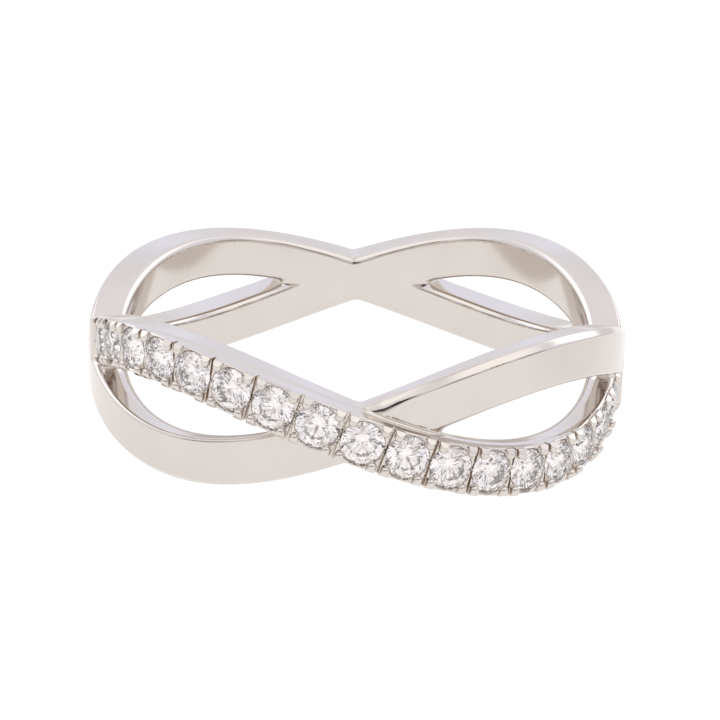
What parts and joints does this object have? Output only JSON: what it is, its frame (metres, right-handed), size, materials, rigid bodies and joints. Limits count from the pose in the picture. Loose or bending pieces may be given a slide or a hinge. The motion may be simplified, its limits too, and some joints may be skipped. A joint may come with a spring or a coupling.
{
  "type": "crossover ring",
  "caption": "Finger ring of two flat polished strands that weave round each other, the front half of one set with a single row of round cut stones.",
  "frame": {"origin": "on the axis of the finger hole, half way up the ring as it lies", "axes": "+Z along the finger hole, -Y toward the middle of the row of stones, +X to the right as the stones face the viewer"},
  "size_m": [0.02, 0.0207, 0.0052],
  "materials": {
    "white_gold": "polished white gold",
    "stone": "clear brilliant-cut stone"
  },
  "bodies": {
    "root": {"band": "white_gold", "stone_01": "stone", "stone_02": "stone", "stone_03": "stone", "stone_04": "stone", "stone_05": "stone", "stone_06": "stone", "stone_07": "stone", "stone_08": "stone", "stone_09": "stone", "stone_10": "stone", "stone_11": "stone", "stone_12": "stone", "stone_13": "stone", "stone_14": "stone", "stone_15": "stone", "stone_16": "stone", "stone_17": "stone"}
  },
  "joints": []
}
